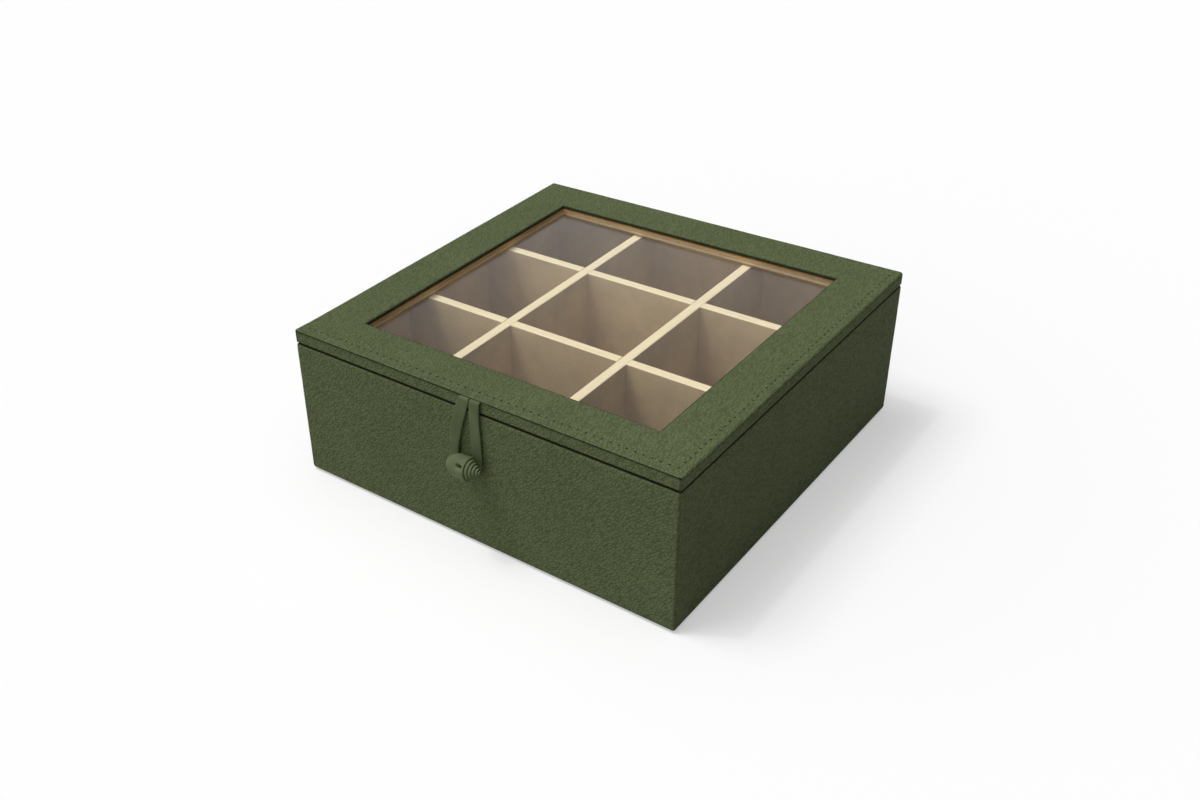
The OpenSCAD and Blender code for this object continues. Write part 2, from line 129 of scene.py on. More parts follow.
def loft(grid, closed):
    """Points and faces of a skin over rows of points; each row is a closed ring."""
    rows, columns = len(grid), len(grid[0])
    faces = []
    for k in range(rows if closed else rows - 1):
        a, b = k * columns, (k + 1) % rows * columns
        for i in range(columns):
            j = (i + 1) % columns
            faces.append((a + i, a + j, b + j, b + i))
    if not closed:
        faces.append(tuple(range(columns)))
        faces.append(tuple(range((rows - 1) * columns, rows * columns)))
    return [point for row in grid for point in row], faces


def piece(name, points, faces, material, sharp=40):
    """A mesh object from points in millimetres, with outward normals."""
    mesh = bpy.data.meshes.new(name)
    mesh.from_pydata([Vector(point) * MM for point in points], [], faces)
    shape = bmesh.new()
    shape.from_mesh(mesh)
    bmesh.ops.remove_doubles(shape, verts=shape.verts, dist=1e-7)
    bmesh.ops.recalc_face_normals(shape, faces=shape.faces)
    shape.to_mesh(mesh)
    shape.free()
    mesh.shade_smooth()
    mesh.set_sharp_from_angle(angle=math.radians(sharp))
    mesh.materials.append(material)
    made = bpy.data.objects.new(name, mesh)
    bpy.context.scene.collection.objects.link(made)
    return made


def unevenness(p):
    """How far leather that was glued on by hand stands out at a point, in millimetres."""
    broad = noise.noise(Vector((p.x / 21, p.y / 34, p.z / 17)))
    fine = noise.noise(Vector((p.x / 3.4, p.y / 7.5, p.z / 4.1)) + Vector((7, 3, 5)))
    return RIPPLE * (broad + 0.45 * fine)


def ripple(made, weight):
    """Moves the vertices in and out a little; weight(point) is 0 to 1."""
    mesh = made.data
    places = [vertex.co / MM for vertex in mesh.vertices]
    weights = [weight(place) for place in places]
    moves = [vertex.normal * unevenness(place) * w * MM
             for vertex, place, w in zip(mesh.vertices, places, weights)]
    for vertex, move in zip(mesh.vertices, moves):
        vertex.co += move
    mesh.update()


# ---------- node helpers ----------

def put(tree, socket, value):
    """Links an input to another node's output, or sets it to a value."""
    if isinstance(value, bpy.types.NodeSocket):
        tree.links.new(value, socket)
    else:
        socket.default_value = value


def node(tree, kind, inputs=(), **settings):
    """Adds a shader node; inputs are sockets to link or values to set."""
    made = tree.nodes.new(kind)
    for key, value in settings.items():
        setattr(made, key, value)
    for key, value in dict(inputs).items():
        put(tree, made.inputs[key], value)
    return made


def math_node(tree, operation, *values):
    """Result of a mathematical operation on sockets or numbers."""
    return node(tree, "ShaderNodeMath", enumerate(values), operation=operation).outputs[0]


def product(tree, *factors):
    """All factors multiplied with each other."""
    result = factors[0]
    for factor in factors[1:]:
        result = math_node(tree, "MULTIPLY", result, factor)
    return result


def largest(tree, *values):
    """The largest of the values at each point."""
    result = values[0]
    for value in values[1:]:
        result = math_node(tree, "MAXIMUM", result, value)
    return result


def distance_from(tree, value, middle):
    """How far a value is from a middle, either way."""
    return math_node(tree, "ABSOLUTE", math_node(tree, "SUBTRACT", value, middle))


def darkened(tree, amount, by):
    """Factor that is 1 where amount is 0, and 1 - by where it is 1."""
    return math_node(tree, "MULTIPLY_ADD", amount, -by, 1.0)


def noise_node(tree, vector, scale, detail=2.0, roughness=0.5):
    inputs = {"Vector": vector, "Scale": scale, "Detail": detail, "Roughness": roughness}
    return node(tree, "ShaderNodeTexNoise", inputs).outputs["Fac"]


def ramp(tree, value, low, high, to_low=0.0, to_high=1.0):
    """Smooth step of value from low to high."""
    inputs = {"Value": value, "From Min": low, "From Max": high, "To Min": to_low, "To Max": to_high}
    return node(tree, "ShaderNodeMapRange", inputs, interpolation_type="SMOOTHSTEP").outputs["Result"]


def blend_colors(tree, factor, a, b, blend_type="MIX"):
    """Colour a, or b where factor is 1; a and b are sockets or colours."""
    return node(tree, "ShaderNodeMix", {0: factor, 6: a, 7: b}, data_type="RGBA",
                blend_type=blend_type).outputs[2]


def blend_vectors(tree, factor, a, b):
    return node(tree, "ShaderNodeMix", {0: factor, 4: a, 5: b}, data_type="VECTOR").outputs[1]


def mix_values(tree, factor, a, b):
    return node(tree, "ShaderNodeMix", {0: factor, 2: a, 3: b}, data_type="FLOAT").outputs[0]


def rgba(color, factor=1.0):
    """A colour made lighter or darker by a factor, with full opacity."""
    return (*[channel * factor for channel in color], 1.0)


def drawn_out(tree, vector, direction, times):
    """Coordinates in which a texture comes out longer by times along a direction."""
    unit = Vector(direction).normalized()
    dot = node(tree, "ShaderNodeVectorMath", {0: vector, 1: unit}, operation="DOT_PRODUCT")
    along = node(tree, "ShaderNodeVectorMath", {0: unit, "Scale": dot.outputs["Value"]},
                 operation="SCALE")
    share = node(tree, "ShaderNodeVectorMath", {0: along.outputs[0], "Scale": 1 - 1 / times},
                 operation="SCALE")
    left = node(tree, "ShaderNodeVectorMath", {0: vector, 1: share.outputs[0]}, operation="SUBTRACT")
    return left.outputs[0]


def split(tree, vector):
    """The X, Y and Z of a vector."""
    parts = node(tree, "ShaderNodeSeparateXYZ", {"Vector": vector})
    return [parts.outputs[axis] for axis in ("X", "Y", "Z")]


def new_finish(name):
    """A material with its tree, its shader and the place of the point that is shaded."""
    material = bpy.data.materials.new(name)
    material.use_nodes = True
    tree = material.node_tree
    coordinates = tree.nodes.new("ShaderNodeTexCoord")
    return material, tree, tree.nodes["Principled BSDF"], coordinates.outputs["Object"]


def facing_of(tree):
    """The X, Y and Z of the normal where a finish is shaded."""
    return split(tree, tree.nodes["Texture Coordinate"].outputs["Normal"])


def fit(tree, shader, **inputs):
    """Links or sets inputs of a shader; an underscore stands for a space in their names."""
    for key, value in inputs.items():
        put(tree, shader.inputs[key.replace("_", " ")], value)


def bump(tree, shader, height, depth, strength=1.0):
    """Relief of a depth in millimetres."""
    made = node(tree, "ShaderNodeBump", {"Height": height, "Distance": depth * MM, "Strength": strength})
    fit(tree, shader, Normal=made.outputs["Normal"])


# ---------- finishes ----------

WHITE = (1, 1, 1)
LEATHER_GREEN = (0.1035, 0.1255, 0.0600)
STRAP_GREEN = (0.101, 0.124, 0.060)
TOGGLE_LIT_GREEN = (0.118, 0.143, 0.072)    # painted light: the strap's leather made lighter for the light its upturned faces catch
SUEDE_TAUPE = (0.64, 0.485, 0.27)
DIVIDER_CREAM = (0.97, 0.82, 0.53)
HONEY = (0.56, 0.40, 0.18)
PAINTED_HIGHLIGHT_AMBER = (0.46, 0.21, 0.06)              # painted highlight on the upper part of the window's wood
PAINTED_SHADOW_BROWN = (0.06, 0.03, 0.01)        # painted shadow on the same wood right under the leather
PAINTED_REFLECTION_PALE = (0.85, 0.71, 0.54)          # painted reflection: the wood below the glass made pale
FELT_GREY = (0.045, 0.045, 0.040)
BOARD_BROWN = (0.39, 0.25, 0.13)
BRASS = (0.62, 0.42, 0.15)
BRASS_AGED = (0.50, 0.31, 0.10)

STITCH_PITCH = 4.49
STITCH_IN = 6.4                         # front row, from the front edge
STITCH_IN_RIGHT = 4.9                   # right row, from the right edge
STITCH_FIRST_X = -114.3                 # first stitch of the front row
STITCH_FIRST_Y = -108.4                 # first stitch of the right row
STITCH_LAST = 115.0                     # no stitch lies beyond this
HOLE_LONG, HOLE_WIDE = 0.66, 0.48       # half length and half width of a stitch hole
HOLE_RIM, HOLE_CORE = 1.15, 0.6         # where its shade starts and is full, in those halves
# painted shade in the stitch holes
HOLE_PAINTED_SHADE = 0.92

ALONG_Y = (-0.18, 1, 0.05)              # run of the grain on the top and the sides
SLANTWISE = (0.66, 0, 0.75)             # and on the front
PEBBLE_SCALE, FOLD_SCALE = 680.0, 900.0  # of the textures, for each metre
PEBBLE_DRAWN, FOLD_DRAWN = (1.5, 1.8), (4.0, 5.0)  # length over width: top and sides, front
PEBBLE_EDGE = 0.28                      # share of a pebble that slopes down to its crease
PEBBLE_SHARE = 0.6                      # of the relief; the folds have the rest
GRAIN_DEPTH = 0.28                      # height of the relief
GRAIN_SHADES = (0.76, 1.13)             # in the creases and on the pebbles
PATCH_SHADES = (0.96, 1.04)             # broad patches of the dye

CORNER_SHADE = 0.18                        # painted shade along the upright corners
EDGE_SHADE = 0.80                        # painted shade in creases, beside gaps and at the window's edge
SEAM_SHARE = 0.35                       # how much of that the fold of a rolled edge gets


def along_grain(tree, spot, is_front, drawn):
    """Coordinates drawn out along the run of the grain: slantwise on the front and the back."""
    return blend_vectors(tree, is_front, drawn_out(tree, spot, ALONG_Y, drawn[0]),
                         drawn_out(tree, spot, SLANTWISE, drawn[1]))


def grain_height(tree, spot, facing):
    """Pebbles with creases between them and folds across them, 0 to 1."""
    is_front = math_node(tree, "GREATER_THAN", math_node(tree, "ABSOLUTE", facing[Y]), 0.7)
    edges = node(tree, "ShaderNodeTexVoronoi",
                 {"Vector": along_grain(tree, spot, is_front, PEBBLE_DRAWN), "Scale": PEBBLE_SCALE},
                 feature="DISTANCE_TO_EDGE").outputs["Distance"]
    pebbles = ramp(tree, edges, 0.0, PEBBLE_EDGE)
    waves = noise_node(tree, along_grain(tree, spot, is_front, FOLD_DRAWN), FOLD_SCALE, 1.0)
    folds = product(tree, ramp(tree, waves, 0.35, 0.62), 1 - PEBBLE_SHARE)
    return math_node(tree, "MULTIPLY_ADD", pebbles, PEBBLE_SHARE, folds)


def stitch_holes(tree, place, facing):
    """1 in the stitch holes along the front and right edges of the lid, 0 elsewhere."""
    rows = []
    for along, across, first, line in (
            (place[X], place[Y], STITCH_FIRST_X, STITCH_IN - HALF),
            (place[Y], place[X], STITCH_FIRST_Y, HALF - STITCH_IN_RIGHT)):
        shifted = math_node(tree, "SUBTRACT", along, (first - STITCH_PITCH / 2) * MM)
        phase = math_node(tree, "FRACT", math_node(tree, "DIVIDE", shifted, STITCH_PITCH * MM))
        off = product(tree, math_node(tree, "SUBTRACT", phase, 0.5), STITCH_PITCH / HOLE_LONG)
        aside = math_node(tree, "DIVIDE", math_node(tree, "SUBTRACT", across, line * MM), HOLE_WIDE * MM)
        away = math_node(tree, "SQRT", math_node(tree, "ADD", math_node(tree, "POWER", off, 2.0),
                                                 math_node(tree, "POWER", aside, 2.0)))
        after_first = math_node(tree, "GREATER_THAN", along, (first - 1) * MM)
        before_last = math_node(tree, "LESS_THAN", along, (STITCH_LAST + 1) * MM)
        rows.append(product(tree, ramp(tree, away, HOLE_RIM, HOLE_CORE), after_first, before_last))
    on_top = math_node(tree, "GREATER_THAN", facing[Z], 0.8)
    return product(tree, largest(tree, *rows), on_top)


def painted_corner_shade(tree, place):
    """Painted shade: 1 along the upright corners of the box, 0 elsewhere."""
    near = [ramp(tree, math_node(tree, "ABSOLUTE", place[axis]),
                 (HALF - 1.7) * MM, (HALF - 0.6) * MM) for axis in (X, Y)]
    return product(tree, *near)


def painted_edge_shade(tree, place, facing):
    """Painted shade: 1 in the crease under the lid's top leather, beside the gap under the lid and at the
    window's edge, less in the fold along the lid's rolled edges, 0 elsewhere."""
    x, y, z = place
    out = largest(tree, math_node(tree, "ABSOLUTE", x), math_node(tree, "ABSOLUTE", y))
    crease = product(tree, ramp(tree, z, (band_hi.z - 0.45) * MM, (band_hi.z - 0.15) * MM),
                     math_node(tree, "LESS_THAN", y, (0.6 - HALF) * MM),
                     math_node(tree, "LESS_THAN", facing[Z], 0.75))
    window = product(tree, ramp(tree, out, (WINDOW + 1.6) * MM, (WINDOW + 0.3) * MM),
                     math_node(tree, "GREATER_THAN", z, LID_Z * MM))
    gap = ramp(tree, distance_from(tree, z, (RIM_Z + LID_Z) / 2 * MM), 0.8 * MM, 0.4 * MM)
    seam = product(tree, ramp(tree, distance_from(tree, z, (TOP_Z - ROLL_R) * MM),
                              0.7 * MM, 0.1 * MM, 0.0, SEAM_SHARE),
                   math_node(tree, "GREATER_THAN", y, (1.5 - HALF) * MM))
    outside = math_node(tree, "GREATER_THAN", out, (HALF - 2) * MM)
    return largest(tree, product(tree, largest(tree, gap, seam), outside), crease, window)


def leather_finish(name, base, stitched=False):
    """Pebbled leather, darker in its creases, with painted shade along the upright corners, beside gaps
    and at the window's edge; stitched adds the holes of the lid's seams, with painted shade in them.
    """
    material, tree, shader, spot = new_finish(name)
    place, facing = split(tree, spot), facing_of(tree)
    height = grain_height(tree, spot, facing)
    patches = noise_node(tree, spot, 26.0, 3.0)
    hue = blend_colors(tree, ramp(tree, patches, 0.3, 0.7), *[rgba(base, shade) for shade in PATCH_SHADES])
    light = product(tree, ramp(tree, height, 0.10, 0.80, *GRAIN_SHADES),
                    # painted shade along the upright corners
                    darkened(tree, painted_corner_shade(tree, place), CORNER_SHADE),
                    # painted shade in the crease under the lip, beside the gap under the lid, at the
                    # window's edge and in the folds
                    darkened(tree, painted_edge_shade(tree, place, facing), EDGE_SHADE))
    shade = node(tree, "ShaderNodeCombineColor", {"Red": light, "Green": light, "Blue": light})
    color = blend_colors(tree, 1.0, hue, shade.outputs[0], "MULTIPLY")
    if stitched:
        holes = stitch_holes(tree, place, facing)
        # painted shade in the stitch holes, nearly black
        color = blend_colors(tree, product(tree, holes, HOLE_PAINTED_SHADE), color, rgba(base, 0.08))
        height = math_node(tree, "MULTIPLY_ADD", holes, -2.0, height)
    fit(tree, shader, Base_Color=color, Roughness=ramp(tree, height, 0.2, 0.8, 0.78, 0.66),
        IOR=1.45, Specular_IOR_Level=0.05)
    bump(tree, shader, height, GRAIN_DEPTH)
    return material


def strap_finish(name, base):
    """Smooth leather with a fine matt surface."""
    material, tree, shader, spot = new_finish(name)
    fine = noise_node(tree, spot, 1500.0, 3.0, 0.6)
    broad = noise_node(tree, spot, 90.0, 3.0)
    hue = blend_colors(tree, ramp(tree, broad, 0.3, 0.7), rgba(base, 0.90), rgba(base, 1.10))
    shade = blend_colors(tree, ramp(tree, fine, 0.3, 0.7), rgba(WHITE, 0.9), rgba(WHITE))
    color = blend_colors(tree, 1.0, hue, shade, "MULTIPLY")
    fit(tree, shader, Base_Color=color, Roughness=ramp(tree, broad, 0.3, 0.7, 0.62, 0.54),
        IOR=1.45, Specular_IOR_Level=0.08)
    bump(tree, shader, fine, 0.05, 0.6)
    return material


def suede_nap(tree, spot):
    """Colour and height of taupe microsuede."""
    nap = noise_node(tree, spot, 2400.0, 3.0, 0.65)
    strokes = noise_node(tree, spot, 45.0, 4.0, 0.6)
    hue = blend_colors(tree, ramp(tree, strokes, 0.3, 0.7),
                       rgba(SUEDE_TAUPE, 0.90), rgba(SUEDE_TAUPE, 1.10))
    speckle = blend_colors(tree, ramp(tree, nap, 0.3, 0.7), rgba(WHITE, 0.84), rgba(WHITE))
    return blend_colors(tree, 1.0, hue, speckle, "MULTIPLY"), nap


def suede_finish():
    material, tree, shader, spot = new_finish("suede_lining")
    color, nap = suede_nap(tree, spot)
    fit(tree, shader, Base_Color=color, Roughness=0.95, Sheen_Weight=0.2, Sheen_Roughness=0.5)
    bump(tree, shader, nap, 0.08, 0.6)
    return material


def divider_finish(name, direction):
    """Cream edge with faint streaks along the divider, and suede faces."""
    material, tree, shader, spot = new_finish(name)
    suede, nap = suede_nap(tree, spot)
    along = drawn_out(tree, spot, direction, 26)
    streaks = noise_node(tree, along, 900.0, 2.0, 0.6)
    cream = blend_colors(tree, ramp(tree, streaks, 0.36, 0.62),
                         rgba(DIVIDER_CREAM, 0.93), rgba(DIVIDER_CREAM, 1.0))
    is_edge = math_node(tree, "GREATER_THAN", facing_of(tree)[Z], 0.35)
    fit(tree, shader, Base_Color=blend_colors(tree, is_edge, suede, cream),
        Roughness=ramp(tree, is_edge, 0, 1, 0.95, 0.6))
    bump(tree, shader, mix_values(tree, is_edge, nap, streaks), 0.06, 0.5)
    return material


def wood_finish(name, direction):
    """Honey coloured wood with its grain along a direction, with painted light by height: a painted amber
    highlight and a painted shadow up under the leather, and a pale painted reflection below the glass."""
    material, tree, shader, spot = new_finish(name)
    along = drawn_out(tree, spot, direction, 14)
    rings = noise_node(tree, along, 230.0, 3.0, 0.55)
    fibres = noise_node(tree, along, 1500.0, 2.0, 0.6)
    grain = math_node(tree, "MULTIPLY_ADD", fibres, 0.35, product(tree, rings, 0.65))
    color = blend_colors(tree, ramp(tree, grain, 0.38, 0.62), rgba(HONEY, 0.72), rgba(HONEY, 1.12))
    height = split(tree, spot)[Z]
    # painted light by height: a painted highlight, a painted shadow under the leather, a painted
    # reflection below the glass
    for start, full, share, tone in ((RAIL_TOP - 1.6, RAIL_TOP - 1.0, 0.70, PAINTED_HIGHLIGHT_AMBER),
                                     (RAIL_TOP - 0.9, RAIL_TOP - 0.3, 0.85, PAINTED_SHADOW_BROWN),
                                     (GLASS_TOP + 0.3, GLASS_TOP - 0.1, 0.80, PAINTED_REFLECTION_PALE)):
        amount = ramp(tree, height, start * MM, full * MM, 0.0, share)
        color = blend_colors(tree, amount, color, rgba(tone))
    fit(tree, shader, Base_Color=color, Roughness=ramp(tree, grain, 0.35, 0.65, 0.5, 0.38))
    bump(tree, shader, grain, 0.06, 0.5)
    return material


def fibre_finish(name, base, scale, depth, roughness, sheen):
    """Felt or fibreboard: short fibres in mixed shades."""
    material, tree, shader, spot = new_finish(name)
    fibres = noise_node(tree, spot, scale, 4.0, 0.7)
    clouds = noise_node(tree, spot, scale / 18, 2.0)
    mixed = math_node(tree, "MULTIPLY_ADD", clouds, 0.4, product(tree, fibres, 0.6))
    color = blend_colors(tree, ramp(tree, mixed, 0.35, 0.65), rgba(base, 0.72), rgba(base, 1.25))
    fit(tree, shader, Base_Color=color, Roughness=roughness, Sheen_Weight=sheen)
    bump(tree, shader, fibres, depth, 0.7)
    return material


def brass_finish():
    """Brushed brass, with the strokes along the hinges."""
    material, tree, shader, spot = new_finish("brass")
    along = drawn_out(tree, spot, (1, 0, 0), 30)
    strokes = noise_node(tree, along, 3000.0, 2.0, 0.6)
    spots = noise_node(tree, spot, 160.0, 3.0)
    color = blend_colors(tree, ramp(tree, spots, 0.35, 0.7), rgba(BRASS), rgba(BRASS_AGED))
    fit(tree, shader, Base_Color=color, Roughness=ramp(tree, strokes, 0.3, 0.7, 0.24, 0.42),
        Metallic=1.0)
    bump(tree, shader, strokes, 0.01, 0.4)
    return material


def glass_finish():
    """Clear float glass. Shadow and diffuse rays pass straight through, so the cells get their light."""
    material, tree, shader, spot = new_finish("window_glass")
    smears = noise_node(tree, spot, 22.0, 3.0)
    fit(tree, shader, Base_Color=rgba(WHITE), Transmission_Weight=1.0, IOR=1.5,
        Roughness=ramp(tree, smears, 0.35, 0.75, 0.0, 0.025))
    path = tree.nodes.new("ShaderNodeLightPath")
    passing = largest(tree, path.outputs["Is Shadow Ray"], path.outputs["Is Diffuse Ray"])
    clear = node(tree, "ShaderNodeBsdfTransparent", {"Color": (0.98, 0.985, 0.98, 1)})
    both = node(tree, "ShaderNodeMixShader",
                {0: passing, 1: shader.outputs["BSDF"], 2: clear.outputs["BSDF"]})
    tree.links.new(both.outputs[0], tree.nodes["Material Output"].inputs["Surface"])
    return material


LEATHER = leather_finish("olive_leather", LEATHER_GREEN)
LID_TOP = leather_finish("olive_leather_stitched", LEATHER_GREEN, stitched=True)
STRAP = strap_finish("strap_leather", STRAP_GREEN)
# the toggle's leather is the strap's leather painted lighter, as painted light
TOGGLE = strap_finish("toggle_leather", TOGGLE_LIT_GREEN)
SUEDE = suede_finish()
BOARD = fibre_finish("fibreboard", BOARD_BROWN, 1400.0, 0.05, 0.85, 0.0)
FELT = fibre_finish("felt", FELT_GREY, 1900.0, 0.25, 1.0, 0.25)
BRASS_METAL = brass_finish()
GLASS = glass_finish()
WOOD_X = wood_finish("honey_wood_x", (1, 0, 0))
WOOD_Y = wood_finish("honey_wood_y", (0, 1, 0))
DIVIDER_X = divider_finish("divider_x", (1, 0, 0))
DIVIDER_Y = divider_finish("divider_y", (0, 1, 0))

FINISHED_NODES = (
    (FELT, "base_felt"),
    (BOARD, "base_filler base_board front_board back_board left_board right_board"),
    (SUEDE, "floor_lining front_lining back_lining left_lining right_lining lid_lining"),
    (DIVIDER_X, "divider_front divider_back"),
    (DIVIDER_Y, "divider_left divider_right"),
    (WOOD_X, "lid_front_rail lid_back_rail glass_beads"),
    (WOOD_Y, "lid_left_rail lid_right_rail"),
    (GLASS, "glass_pane"),
    (BRASS_METAL, "hinge_body_leaves hinge_lid_leaves hinge_pins"),
    (BRASS_METAL, "hinge_body_screws hinge_lid_screws thong_washer"),
)
for finish, names in FINISHED_NODES:
    for name in names.split():
        for material_slot in frame["nodes"][name].material_slots:
            material_slot.material = finish


# ---------- skins round the plan of the box ----------

SIDES = [(Vector((1, 0)), Vector((0, -1))), (Vector((0, 1)), Vector((1, 0))),
         (Vector((-1, 0)), Vector((0, 1))), (Vector((0, -1)), Vector((-1, 0)))]  # along, outward
FRONT, RIGHT, BACK, LEFT = range(4)
SIDE_END = HALF - CORNER_R              # end of a side's straight stretch
STEADY = WINDOW - 4                     # up to here stations stay abreast of each other
BREAK = 0.04                            # half the width of a step in a skin's section

LEAF_HALF = 12.0                        # half the length of a hinge leaf
LEAF_PLAY = 0.15                        # room in the leather round a leaf
LEAF_SEAT = 0.02                        # the same below a leaf
HINGE_HALF = LEAF_HALF + LEAF_PLAY
HINGE_X = leaf_hi.x - LEAF_HALF
LEAF_IN = HALF - leaf_lo.y + LEAF_PLAY
HINGE_BREAKS = [side * HINGE_X + end * HINGE_HALF for side in (-1, 1) for end in (-1, 1)]

TAB_PLAY = 0.1                          # room in the leather round the strap's ends
TAB_HALF = (tab_hi.x - tab_lo.x) / 2 + TAB_PLAY
TAB_X = (tab_hi.x + tab_lo.x) / 2
TAB_BREAKS = [TAB_X - TAB_HALF, TAB_X + TAB_HALF]
TAB_IN = HALF + tab_hi.y + TAB_PLAY


def stations(breaks):
    """Places round the plan: (side, distance along it, share of the corner at its end)."""
    steps = round(2 * SIDE_END / GRID)
    even = [SIDE_END * (2 * i / steps - 1) for i in range(steps)]
    made = []
    for side in range(4):
        extra = [edge + offset for edge in breaks.get(side, []) for offset in (-BREAK, BREAK)]
        for place in sorted(even + extra):
            made.append((side, place, 0.0))
        made += [(side, SIDE_END, j / CORNER_STEPS) for j in range(CORNER_STEPS)]
    return made


def plan_point(station, inset):
    """Point of the plan at a station, inset from the outer face."""
    side, place, turn = station
    along, outward = SIDES[side]
    r = max(CORNER_R - inset, LEAST_R)
    end = HALF - inset - r
    if abs(place) > STEADY:
        share = (abs(place) - STEADY) / (SIDE_END - STEADY)
        place = math.copysign(STEADY + share * (end - STEADY), place)
    angle = math.radians(90 * turn)
    return along * place + outward * end + r * (outward * math.cos(angle) + along * math.sin(angle))


def wrap(profile, breaks):
    """Skin whose section at each station is the closed list profile(station) of (inset, z)."""
    grid = []
    for station in stations(breaks):
        row = []
        for inset, z in profile(station):
            flat = plan_point(station, inset)
            row.append((flat.x, flat.y, z))
        grid.append(row)
    return loft(grid, closed=True)


def at_hinge(station):
    """Whether a station lies beside a hinge leaf, where the leather is cut away for it."""
    side, place, turn = station
    return side == BACK and abs(abs(place) - HINGE_X) < HINGE_HALF


def body_section(station):
    """Closed section (inset, z) of the body's skin: under the base, up the side and over the rim."""
    top_in = [(CELL_IN - 2.1, RIM_Z), (CELL_IN - 1.9, RIM_Z)]
    outside = (
        run((UNDER, FOOT_Z), (FOOT_R, FOOT_Z), 2.5)
        + arc((FOOT_R, FOOT_Z + FOOT_R), FOOT_R, 270, 180, 7)
        + run((0, FOOT_Z + FOOT_R + GRID), (0, RIM_Z - RIM_R), GRID)
        + arc((RIM_R, RIM_Z - RIM_R), RIM_R, 180, 90, 5)
        + run((RIM_R + 1, RIM_Z), top_in[0], 2)
        + top_in
        + arc((CELL_IN - 0.35, RIM_Z - 0.35), 0.35, 90, 0, 3))
    inside = [(CELL_IN, RIM_Z - TURNED), (SKIN, RIM_Z - TURNED), (SKIN, FOOT_Z + FOOT_R),
              (FOOT_R, FOOT_Z + TURNED), (UNDER, FOOT_Z + TURNED)]
    if at_hinge(station):
        cut = RIM_Z - TURNED + LEAF_SEAT
        outside = [(inset, min(z, cut) if inset < LEAF_IN else z) for inset, z in outside]
    return outside + inside


def lid_section(station):
    """Closed section (inset, z) of the lid's skin: from the window over the top and in under the lid,
    or down to the lip on the front."""
    side, place, turn = station
    from_front = plan_point(station, 0).y + HALF
    on_front = (side == FRONT and turn < 0.2) or (side == LEFT and turn > 0.8)
    if on_front:
        roll, foot, foot_r = LIP_R, TOP_Z - LIP_T, 0.04
    else:
        roll = POINT_R + (ROLL_R - POINT_R) * smooth(from_front, 0, ROLL_RUN)
        foot, foot_r = LID_Z, RIM_R
    window_edge = [(HALF - WINDOW - CUT_RUN * (1 - c), TOP_Z - CUT_DROP * (1 - s))
                   for c, s in arc((0, 0), 1, 0, 90, 7)]
    outside = (
        [(HALF - WINDOW, RAIL_TOP)]
        + window_edge
        + run((HALF - WINDOW - CUT_RUN - 1, TOP_Z), (ROLL_R + 1, TOP_Z), GRID)
        + run((ROLL_R + 1, TOP_Z), (roll, TOP_Z), 1.2)[:1]
        + arc((roll, TOP_Z - roll), roll, 90, 180, 7)
        + [(0, foot + foot_r + (TOP_Z - roll - foot - foot_r) * i / 4) for i in (3, 2, 1)]
        + arc((foot_r, foot + foot_r), foot_r, 180, 270, 4))
    if on_front:
        under = TOP_Z - LIP_T if side == FRONT and abs(place - TAB_X) < TAB_HALF else RAIL_TOP
        inside = [(RAIL_IN, foot), (RAIL_IN, under), (TAB_IN, under), (TAB_IN + 0.05, RAIL_TOP),
                  (TAB_IN + 1, RAIL_TOP), (TAB_IN + 2, RAIL_TOP)]
    else:
        inner = max(ROLL_R, roll)
        inside = [(TURN_IN - 1.3, foot), (TURN_IN, foot), (TURN_IN, foot + TURNED),
                  (SKIN, foot + TURNED), (SKIN, TOP_Z - inner), (inner, RAIL_TOP)]
    if at_hinge(station):
        cut = LID_Z + TURNED - LEAF_SEAT
        outside = [(inset, max(z, cut)) for inset, z in outside]
        inside = [(inset, max(z, cut) if inset < LEAF_IN else z) for inset, z in inside]
    return outside + inside


def body_weight(p):
    """How much of the unevenness a point of the body's skin gets: all of it on the open sides."""
    outer = max(abs(p.x), abs(p.y)) > HALF - 0.5
    return smooth(p.z, 2, 6) * (1 - smooth(p.z, RIM_Z - 6, RIM_Z - 1.5)) if outer else 0


def lid_weight(p):
    """The same for the lid: its top, and less on its rolled edges."""
    if p.z > TOP_Z - 0.1:
        return 1.0
    if max(abs(p.x), abs(p.y)) > HALF - ROLL_R and p.z > TOP_Z - ROLL_R:
        return 0.7
    return 0


points, faces = wrap(body_section, {BACK: HINGE_BREAKS})
body_skin = piece("body_skin", points, faces, LEATHER)
ripple(body_skin, body_weight)
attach(body_skin, "body")
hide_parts("body_leather")

points, faces = wrap(lid_section, {BACK: HINGE_BREAKS, FRONT: TAB_BREAKS})
lid_skin = piece("lid_skin", points, faces, LID_TOP)
ripple(lid_skin, lid_weight)
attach(lid_skin, "lid")
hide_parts("lid_leather")


# ---------- leather band along the lid's front ----------

BAND_R = 0.5                            # rounding along the top of the band
BAND_STEPS = 170
BAND_RIPPLE = 0.6                       # share of the skins' unevenness


def band_section(x):
    """Closed section (y, z) of the band: the face under the lip and the part turned in."""
    face = band_lo.y
    back = -HALF + RAIL_IN
    top = band_hi.z
    if abs(x - TAB_X) < TAB_HALF:
        top = tab_lo.z - TAB_PLAY
    turned_in = max(back, min(band_hi.y, -abs(x) - 0.1))
    foot = arc((face + RIM_R, LID_Z + RIM_R), RIM_R, 180, 270, 5)
    crown = arc((face + BAND_R, top - BAND_R), BAND_R, 90, 180, 4)
    return ([(back, top)] + crown + run(crown[-1], foot[0], 1.3)[1:] + foot
            + [(turned_in, LID_Z), (turned_in, LID_Z + TURNED), (back, LID_Z + TURNED)])


